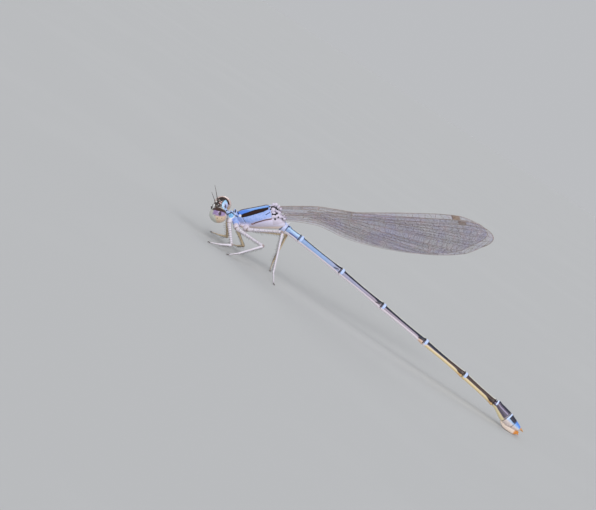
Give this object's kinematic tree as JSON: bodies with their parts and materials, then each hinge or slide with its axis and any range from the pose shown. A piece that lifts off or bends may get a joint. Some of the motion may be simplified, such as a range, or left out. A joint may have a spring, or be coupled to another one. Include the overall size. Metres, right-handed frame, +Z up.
{
  "type": "damselfly",
  "caption": "Life-size still model of a resting damselfly with its clear wings closed above a long, thin, sloping abdomen.",
  "frame": {"origin": "on the surface that the feet stand on, under the middle of the whole insect", "axes": "+X from the head to the tip of the abdomen, +Y to the insect's right, +Z up"},
  "size_m": [0.0376, 0.0076, 0.0152],
  "materials": {
    "head": "dull dark brown, pale spots",
    "eyes": "glossy, brown cap over lilac and cream",
    "antennae": "dark, dull",
    "thorax": "satin blue with dark stripes",
    "abdomen": "glossy, dark above and pale below, with pale rings",
    "tail": "glossy pale blue, dark above",
    "ovipositor": "satin cream and tan",
    "legs": "pale with dark ticks",
    "wings": "clear membrane with grey-brown veins"
  },
  "bodies": {
    "root": {"eye_left": "eyes", "antenna_left": "antennae", "forewing_left": "wings", "hindwing_left": "wings", "cercus_left": "tail", "eye_right": "eyes", "antenna_right": "antennae", "forewing_right": "wings", "hindwing_right": "wings", "cercus_right": "tail", "head": "head", "prothorax": "thorax", "thorax": "thorax", "abdomen_1": "abdomen", "abdomen_2": "abdomen", "abdomen_3": "abdomen", "abdomen_4": "abdomen", "abdomen_5": "abdomen", "abdomen_6": "abdomen", "abdomen_7": "abdomen", "abdomen_8": "tail", "abdomen_9": "tail", "abdomen_10": "tail", "ovipositor": "ovipositor", "leg_fore_left_upper": "legs", "leg_fore_left_lower": "legs", "leg_fore_right_upper": "legs", "leg_fore_right_lower": "legs", "leg_mid_left_upper": "legs", "leg_mid_left_lower": "legs", "leg_mid_right_upper": "legs", "leg_mid_right_lower": "legs", "leg_hind_left_upper": "legs", "leg_hind_left_lower": "legs", "leg_hind_right_upper": "legs", "leg_hind_right_lower": "legs"}
  },
  "joints": []
}
